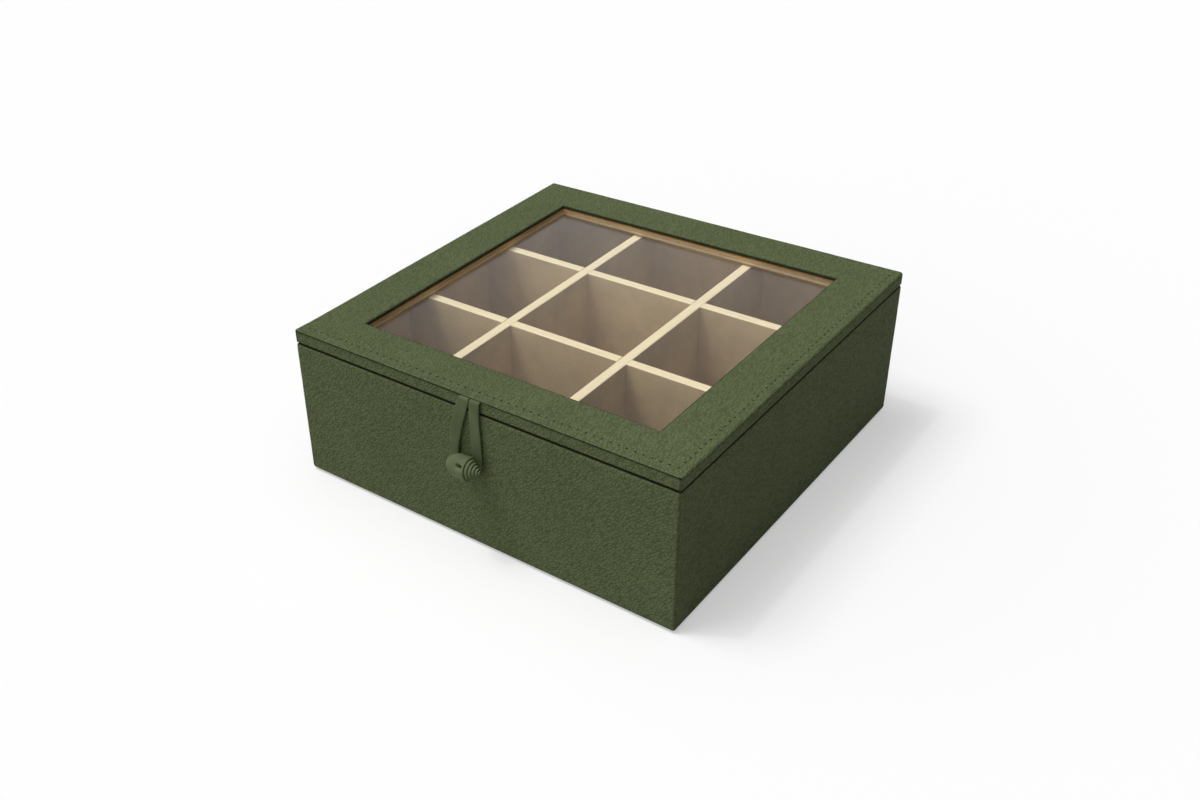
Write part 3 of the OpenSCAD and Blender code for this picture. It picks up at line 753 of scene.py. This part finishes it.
band_places = [band_lo.x + (band_hi.x - band_lo.x) * i / BAND_STEPS for i in range(BAND_STEPS + 1)]
band_places = sorted(band_places + [edge + offset for edge in TAB_BREAKS for offset in (-BREAK, BREAK)])
band_grid = [[(x, y, z) for y, z in band_section(x)] for x in band_places]
least = min(len(row) for row in band_grid)
band_grid = [row[:2] + row[2 + len(row) - least:] for row in band_grid]
points, faces = loft(band_grid, closed=False)
band_skin = piece("band_skin", points, faces, LEATHER)
ripple(band_skin, lambda p: BAND_RIPPLE if p.y < band_lo.y + 0.1 and p.z > LID_Z + RIM_R else 0)
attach(band_skin, "lid")
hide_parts("lid_front_band")


# ---------- stitches ----------

STITCH_LONG, STITCH_WIDE, STITCH_HIGH = 1.05, 0.5, 0.24
STITCH_SUNK = 0.06                      # its middle lies this far below the leather
STITCH_SLANT = math.radians(6)
STITCH_RINGS, STITCH_POINTS = 7, 8


def stitch(centre, along):
    """A short flat loop of thread, sunk in its hole."""
    long_half = along * STITCH_LONG / 2
    wide_half = Vector((-along.y, along.x, 0)) * STITCH_WIDE / 2
    high_half = Vector((0, 0, STITCH_HIGH / 2))
    grid = []
    for k in range(STITCH_RINGS):
        t = math.pi * (k + 0.5) / STITCH_RINGS
        turns = [2 * math.pi * i / STITCH_POINTS for i in range(STITCH_POINTS)]
        grid.append([centre - long_half * math.cos(t)
                     + math.sin(t) * (wide_half * math.cos(a) + high_half * math.sin(a))
                     for a in turns])
    return loft(grid, closed=False)


def stitch_row(first, last, place, along):
    """Points and faces of a whole row; place(distance) is a stitch's centre."""
    points, faces = [], []
    count = int((last - first) / STITCH_PITCH) + 1
    for i in range(count):
        distance = first + i * STITCH_PITCH
        slant = Matrix.Rotation(STITCH_SLANT, 3, "Z") @ along
        centre = place(distance)
        centre.z += unevenness(centre) - STITCH_SUNK
        more_points, more_faces = stitch(centre, slant)
        faces += [tuple(index + len(points) for index in face) for face in more_faces]
        points += more_points
    return points, faces


front_row = stitch_row(STITCH_FIRST_X, STITCH_LAST,
                       lambda x: Vector((x, STITCH_IN - HALF, TOP_Z)), Vector((1, 0, 0)))
right_row = stitch_row(STITCH_FIRST_Y, STITCH_LAST,
                       lambda y: Vector((HALF - STITCH_IN_RIGHT, y, TOP_Z)), Vector((0, 1, 0)))


def thread_finish():
    # The thread is near-black: it stands as painted shade in the stitch holes.
    material, tree, shader, spot = new_finish("hole_shade_thread")
    twist = noise_node(tree, spot, 5000.0, 2.0)
    color = blend_colors(tree, twist, rgba(LEATHER_GREEN, 0.05), rgba(LEATHER_GREEN, 0.20))
    fit(tree, shader, Base_Color=color, Roughness=0.8)
    bump(tree, shader, twist, 0.03)
    return material


THREAD = thread_finish()
for name, (points, faces) in (("front_stitches", front_row), ("right_stitches", right_row)):
    row = piece(name, points, faces, THREAD)
    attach(row, "lid")


# ---------- strap loop ----------

STRAP_W = 6.2
STRAP_T = 1.2
STRAP_Y = -HALF - 1.1                   # middle of the hanging strap's thickness
STRAP_Z = (tab_lo.z + tab_hi.z) / 2
BEND_R = 0.75
LEG_TOPS = [tab_lo.x + STRAP_W / 2, tab_hi.x - STRAP_W / 2]
LOOP_LEFT = -10.0
LOOP_RIGHT = 4.8
LOOP_END_Z = 54.0                       # where the legs run into the round end
LEG_EASE = 1.55                         # how soon the left leg turns down
LEG_BOW = 0.3                           # the right leg bows in, then out, by this much
LEG_SPREAD = 0.8                        # the left leg is wider by this much half way
SPREAD_END = 0.34                       # share of the loop that is the left leg
LEFT_LIFT, RIGHT_LIFT = 0.35, 0.25      # how far the legs stand off the front half way
LEG_STEPS = 34
END_STEPS = 24
BEND_STEPS = 6
TAB_STEPS = 6
STRAP_POINTS = 24                       # round the strap's section
SIDE_POWER, FACE_POWER = 0.35, 0.55     # the smaller, the squarer: its edges and its faces


def leg_point(x, share, lift):
    """Point of a leg that hangs down, a share of the way to the round end."""
    top = STRAP_Z - BEND_R
    return Vector((x, STRAP_Y - lift * math.sin(math.pi * share), top + (LOOP_END_Z - top) * share))


def loop_path():
    """Centre line of the strap, from one end glued under the lid, round the loop, to the other end."""
    bend_turns = [math.radians(90 * i / BEND_STEPS) for i in range(BEND_STEPS + 1)]
    bend = [(STRAP_Y + BEND_R * (1 - math.sin(a)), STRAP_Z - BEND_R * (1 - math.cos(a)))
            for a in bend_turns]
    tab = [tab_hi.y - i * (tab_hi.y - STRAP_Y - BEND_R) / TAB_STEPS for i in range(TAB_STEPS)]
    left_x, right_x = LEG_TOPS
    path = [Vector((left_x, y, STRAP_Z)) for y in tab]
    path += [Vector((left_x, y, z)) for y, z in bend]
    for i in range(1, LEG_STEPS + 1):
        s = i / LEG_STEPS
        x = left_x + (LOOP_LEFT - left_x) * (1 - (1 - s) ** LEG_EASE)
        path.append(leg_point(x, s, LEFT_LIFT))
    middle, radius = (LOOP_LEFT + LOOP_RIGHT) / 2, (LOOP_RIGHT - LOOP_LEFT) / 2
    for i in range(1, END_STEPS):
        a = math.pi * (1 + i / END_STEPS)
        path.append(Vector((middle + radius * math.cos(a), STRAP_Y, LOOP_END_Z + radius * math.sin(a))))
    for i in range(LEG_STEPS, -1, -1):
        s = i / LEG_STEPS
        x = right_x + (LOOP_RIGHT - right_x) * s - LEG_BOW * math.sin(2 * math.pi * s)
        path.append(leg_point(x, s, RIGHT_LIFT))
    path += [Vector((right_x, y, z)) for y, z in reversed(bend[:-1])]
    path += [Vector((right_x, y, STRAP_Z)) for y in reversed(tab)]
    return path


def strap_section(across, out, width):
    """Closed ring of offsets: a flat strap with rounded edges and a slightly domed face."""
    ring = []
    for i in range(STRAP_POINTS):
        a = 2 * math.pi * (i + 0.5) / STRAP_POINTS
        c, s = math.cos(a), math.sin(a)
        u = math.copysign(abs(c) ** SIDE_POWER, c) * width / 2
        v = math.copysign(abs(s) ** FACE_POWER, s) * STRAP_T / 2
        ring.append(across * u + out * v)
    return ring


def strap_grid(path):
    """Sections of the strap along its path, each square to it."""
    grid = []
    hanging = [i for i, point in enumerate(path) if point.z < STRAP_Z - 0.01]
    first, last = hanging[0], hanging[-1]
    for i, point in enumerate(path):
        share = min(1, max(0, (i - first) / (last - first)) / SPREAD_END)
        width = STRAP_W + LEG_SPREAD * math.sin(math.pi * share)
        way = (path[min(i + 1, len(path) - 1)] - path[max(i - 1, 0)]).normalized()
        side = Vector((-way.z, 0, way.x))
        if side.length < 0.3:
            side = Vector((1, 0, 0)) if i < len(path) / 2 else Vector((-1, 0, 0))
        side.normalize()
        out = way.cross(side).normalized()
        grid.append([point + offset for offset in strap_section(side, out, width)])
    return grid


points, faces = loft(strap_grid(loop_path()), closed=False)
strap_loop = piece("strap_loop", points, faces, STRAP, sharp=60)
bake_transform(strap_loop)
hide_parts("closure_loop", "loop_tab")


# ---------- rolled toggle ----------

TOGGLE_R = (bead_hi.z - bead_lo.z) / 2
TOGGLE_LEFT, TOGGLE_TIP = bead_lo.x, bead_hi.x
TURNS = 5                               # turns that show as steps
TURN_PITCH = 1.36                       # from the edge of one turn to the next, on average
TURN_EASE = 1.25                        # the first steps are wider than the last ones
LAYER = 0.95                            # thickness of the rolled strip
WRAP_RIGHT = TOGGLE_TIP - TURNS * TURN_PITCH  # right edge of the outer wrap
SWELL_TO = -0.5                         # the blunt end swells up to here
SWELL = 1.5
CORE_TURNS = 0.8                        # the strip goes on this far inside the last step
TURN_STEPS = 90
EDGE_R = 0.40                           # rounding of the strip's edge
SEAM_AT = math.radians(-60)             # where the strip's wide end lies, seen from the right
SLIT_X, SLIT_AT = 2.6, math.radians(180 - 36)  # place along the axis and direction round it
SLIT_LEN, SLIT_W, SLIT_DEPTH = 3.2, 1.8, 3.0
SLIT_SLANT = math.radians(12)
DIP_DEPTH = 0.8                         # of the hollow beside the slit
DIP_LEN, DIP_W = 2.4, 1.7
TUCKED = 1.0                            # how far each turn reaches in under the one before
toggle_pivot = Vector(joints["toggle_turn"]["pos_m"]) / MM


def strip_edge(turn):
    """Right edge of the rolled strip after so many turns."""
    if turn < 0.5:
        return WRAP_RIGHT + 1.2 * TURN_PITCH * (turn - 0.5)
    share = min(1, (turn - 0.5) / TURNS)
    return WRAP_RIGHT + TURNS * TURN_PITCH * (1 - (1 - share) ** TURN_EASE)


def strip_radius(turn):
    """Outer radius of the strip: round in the outer wrap, then a spiral."""
    return TOGGLE_R if turn < 1 else TOGGLE_R - LAYER * (turn - 0.5)


def strip_end(turn, inner):
    """The strip's rounded right edge as [x, radius], down to the turn inside it."""
    edge, radius = strip_edge(turn), strip_radius(turn)
    r = min(EDGE_R, radius * 0.6)
    points = []
    for i in range(6):
        a = math.radians(90 - 18 * i)
        points.append((edge - r + r * math.cos(a), radius - r + r * math.sin(a)))
    return points + [(edge, inner)]


def outer_section(turn):
    """Section of the first turn, which closes the blunt end, from the axis round to the axis."""
    radius = strip_radius(turn)
    inner = strip_radius(turn + 1)
    swell = [(SWELL_TO - (SWELL_TO - TOGGLE_LEFT) * math.cos(math.radians(a)),
              radius * math.sin(math.radians(a)) ** SWELL) for a in range(6, 91, 6)]
    edge = strip_edge(turn)
    flat = [(SWELL_TO + (edge - EDGE_R - SWELL_TO) * i / 24, radius) for i in range(1, 24)]
    return ([(TOGGLE_LEFT, 0.0)] + swell + flat + strip_end(turn, inner)
            + [(edge - TUCKED, inner), (edge - TUCKED - 0.1, 1.0), (TOGGLE_LEFT + 1, 0.0)])


def inner_section(turn):
    """Section of a later turn, tucked under the one before."""
    radius = strip_radius(turn)
    inner = max(strip_radius(turn + 1) - 0.05, 0.02)
    before = strip_edge(turn - 1)
    edge = strip_edge(turn)
    crown = [(before - 0.3 + (edge - EDGE_R - before + 0.3) * i / 5,
              radius - 0.12 * (1 - i / 5) ** 2) for i in range(5)]
    return [(before - TUCKED, inner), (before - TUCKED, radius - 0.14)] + crown + strip_end(turn, inner)


def slit_depth(x, angle, radius):
    """How far the surface is pressed in at the slit and in the hollow beside it."""
    along = x - SLIT_X
    around = math.remainder(angle - SLIT_AT, 2 * math.pi) * radius
    u = along * math.cos(SLIT_SLANT) + around * math.sin(SLIT_SLANT)
    v = around * math.cos(SLIT_SLANT) - along * math.sin(SLIT_SLANT)
    hole = math.exp(-((abs(u) / (SLIT_LEN / 2)) ** 4 + (abs(v) / (SLIT_W / 2)) ** 3))
    dip = math.exp(-(((u + 1.4) / DIP_LEN) ** 2 + ((v - 0.5) / DIP_W) ** 2))
    return SLIT_DEPTH * hole + DIP_DEPTH * dip


def coil(section, first, last):
    """Solid swept round the toggle's axis from one turn count to another."""
    steps = round((last - first) * TURN_STEPS)
    grid = []
    for k in range(steps + 1):
        turn = first + (last - first) * k / steps
        angle = SEAM_AT + 2 * math.pi * turn
        row = []
        for i, (x, radius) in enumerate(section(turn)):
            if turn <= 1 and 1 <= i <= 40:
                radius = max(radius - slit_depth(x, angle, radius), 0.3 * radius)
            row.append(Vector((x, toggle_pivot.y + radius * math.cos(angle),
                               toggle_pivot.z + radius * math.sin(angle))))
        grid.append(row)
    return loft(grid, closed=False)


outer_points, outer_faces = coil(outer_section, 0.0, 1.0)
inner_points, inner_faces = coil(inner_section, 1.0, TURNS + 0.5 + CORE_TURNS)
points = outer_points + inner_points
faces = outer_faces + [tuple(i + len(outer_points) for i in face) for face in inner_faces]
toggle_roll = piece("toggle_roll", points, faces, TOGGLE, sharp=70)
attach(toggle_roll, "toggle")
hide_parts("toggle_bead")


TAIL_R = 1.4
TAIL_FLAT = 0.09                        # share by which its section is flattened
TAIL_TWIST = math.radians(26)           # for each millimetre
TAIL_STEPS, TAIL_POINTS = 40, 20
KNOT_T = 1.0


def tail_grid():
    """The strip's twisted tail, drawn through the front, and the knot that holds it inside."""
    knot_from, knot_r = stem_hi.y - KNOT_T, (stem_hi.x - stem_lo.x) / 2
    grid = []
    for k in range(TAIL_STEPS + 1):
        y = stem_lo.y + (stem_hi.y - stem_lo.y) * k / TAIL_STEPS
        swell = smooth(y, knot_from - 0.05, knot_from + 0.1)
        size = TAIL_R + (knot_r - TAIL_R) * swell
        twist = TAIL_TWIST * (y - stem_lo.y)
        row = []
        for i in range(TAIL_POINTS):
            a = 2 * math.pi * i / TAIL_POINTS
            flat = 1 - TAIL_FLAT * math.cos(2 * (a + twist)) - TAIL_FLAT
            row.append((stem_lo.x + knot_r + size * flat * math.cos(a), y,
                        toggle_pivot.z + size * flat * math.sin(a)))
        grid.append(row)
    return grid


points, faces = loft(tail_grid(), closed=False)
toggle_tail = piece("toggle_tail", points, faces, TOGGLE)
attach(toggle_tail, "toggle")
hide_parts("toggle_thong")


# ---------- floor, light and camera ----------

FLOOR_SIZE, FLOOR_STEPS = 6.0, 12       # metres, and cells along each side
FLOOR_Z = -0.0001
FLOOR_SEEN = (0.94, 0.94, 0.94)
FLOOR_GLOW = 0.40                       # share of the seen floor that no shadow darkens
FLOOR_LIT = (0.45, 0.455, 0.43)         # what the floor gives back to the box
KEY_DIRECTION = Vector((-36, -22, 91))  # from the box to the light
SHARP_DIRECTION = Vector((-29, -17, 91))
SOFT_SHARE, SOFT_WIDTH = 0.405, 27      # share of a level surface's light, width in degrees
SHARP_SHARE, SHARP_WIDTH = 0.09, 3
AMBIENT_FROM = Vector((-20, -40, 0))    # where the sky is brightest
AMBIENT_NEAR, AMBIENT_FAR = 0.96, 0.0   # sky there and opposite
AMBIENT_FOCUS = 2.0                     # the higher, the sooner it falls off
OVERHEAD_LIGHT = 1.26                   # added to the sky straight above
OVERHEAD_FOCUS = 8.0                    # the higher, the closer that light keeps to the zenith
CEILING = 0.30                          # brightness of the white surroundings high up, in gloss
CEILING_START, CEILING_FULL = 0.20, 0.58  # height over which they fall to it, as a sine


def shows_background(tree, path):
    """1 for camera rays, and for rays that metal or glass sends on to the background."""
    return largest(tree, path.outputs["Is Camera Ray"], path.outputs["Is Glossy Ray"],
                   path.outputs["Is Transmission Ray"])


def make_floor():
    """White floor that shows the box's shadow, and gives back less light than the camera sees."""
    places = [FLOOR_SIZE * (i / FLOOR_STEPS - 0.5) for i in range(FLOOR_STEPS + 1)]
    points = [(x, y, FLOOR_Z) for y in places for x in places]
    row = len(places)
    faces = [(corner, corner + 1, corner + row + 1, corner + row)
             for corner in range(row * (row - 1)) if corner % row < row - 1]
    mesh = bpy.data.meshes.new("floor")
    mesh.from_pydata(points, [], faces)
    floor = bpy.data.objects.new("floor", mesh)
    bpy.context.scene.collection.objects.link(floor)
    material = bpy.data.materials.new("floor_white")
    material.use_nodes = True
    tree = material.node_tree
    seen = shows_background(tree, tree.nodes.new("ShaderNodeLightPath"))
    shader = tree.nodes["Principled BSDF"]
    shaded = rgba(FLOOR_SEEN, 1 - FLOOR_GLOW)
    fit(tree, shader, Base_Color=blend_colors(tree, seen, rgba(FLOOR_LIT), shaded),
        Emission_Strength=product(tree, seen, FLOOR_GLOW), Emission_Color=rgba(WHITE),
        Roughness=1.0, Specular_IOR_Level=0.0)
    mesh.materials.append(material)


def make_world():
    """White round the camera's view; the box is lit by a sky that is brightest in front and above."""
    world = bpy.data.worlds.new("studio")
    world.use_nodes = True
    bpy.context.scene.world = world
    tree = world.node_tree
    background = tree.nodes["Background"]
    path = tree.nodes.new("ShaderNodeLightPath")
    coordinates = tree.nodes.new("ShaderNodeTexCoord")
    direction = coordinates.outputs["Generated"]
    dot = node(tree, "ShaderNodeVectorMath", {0: direction, 1: AMBIENT_FROM.normalized()},
               operation="DOT_PRODUCT")
    nearness = math_node(tree, "MULTIPLY_ADD", dot.outputs["Value"], 0.5, 0.5)
    ambient = mix_values(tree, math_node(tree, "POWER", nearness, AMBIENT_FOCUS),
                         AMBIENT_FAR, AMBIENT_NEAR)
    height = split(tree, direction)[Z]
    overhead = math_node(tree, "POWER", math_node(tree, "MAXIMUM", height, 0.0), OVERHEAD_FOCUS)
    lit = math_node(tree, "MULTIPLY_ADD", overhead, OVERHEAD_LIGHT, ambient)
    surroundings = ramp(tree, height, CEILING_START, CEILING_FULL, 1.0, CEILING)
    seen = mix_values(tree, path.outputs["Is Camera Ray"], surroundings, 1.0)
    fit(tree, background, Strength=mix_values(tree, shows_background(tree, path), lit, seen),
        Color=rgba(WHITE))


def make_sun(name, direction, share, width):
    """A sun that gives a level surface a share of its light."""
    sun = bpy.data.lights.new(name, "SUN")
    up = direction.normalized()
    sun.energy = math.pi * share / up.z
    sun.angle = math.radians(width)
    lamp = bpy.data.objects.new(name, sun)
    bpy.context.scene.collection.objects.link(lamp)
    lamp.location = up * 1.5
    lamp.rotation_mode = "QUATERNION"
    lamp.rotation_quaternion = up.to_track_quat("Z", "Y")


CAMERA_PLACE = Vector((0.34417, -0.52216, 0.42176))
CAMERA_AZIMUTH, CAMERA_ELEVATION, CAMERA_ROLL = 39.91, 32.18, -3.01
CAMERA_LENS = 38.418
CAMERA_SHIFT_X = 0.10


def make_camera():
    """The photograph's camera, fitted to the box's edges."""
    azimuth, elevation, roll = map(math.radians, (CAMERA_AZIMUTH, CAMERA_ELEVATION, CAMERA_ROLL))
    back = Vector((math.sin(azimuth) * math.cos(elevation), -math.cos(azimuth) * math.cos(elevation),
                   math.sin(elevation)))
    right = Vector((math.cos(azimuth), math.sin(azimuth), 0))
    up = back.cross(right)
    tilted_right = math.cos(roll) * right + math.sin(roll) * up
    tilted_up = math.cos(roll) * up - math.sin(roll) * right
    data = bpy.data.cameras.new("camera")
    data.sensor_width = 36
    data.lens = CAMERA_LENS
    data.shift_x = CAMERA_SHIFT_X
    data.clip_start = 0.01
    camera = bpy.data.objects.new("camera", data)
    bpy.context.scene.collection.objects.link(camera)
    turn = Matrix((tilted_right, tilted_up, back)).transposed().to_4x4()
    camera.matrix_world = Matrix.Translation(CAMERA_PLACE) @ turn
    bpy.context.scene.camera = camera


make_floor()
make_world()
make_sun("soft_key", KEY_DIRECTION, SOFT_SHARE, SOFT_WIDTH)
make_sun("sharp_key", SHARP_DIRECTION, SHARP_SHARE, SHARP_WIDTH)
make_camera()
bpy.context.scene.view_settings.view_transform = "Standard"

bpy.context.view_layer.update()
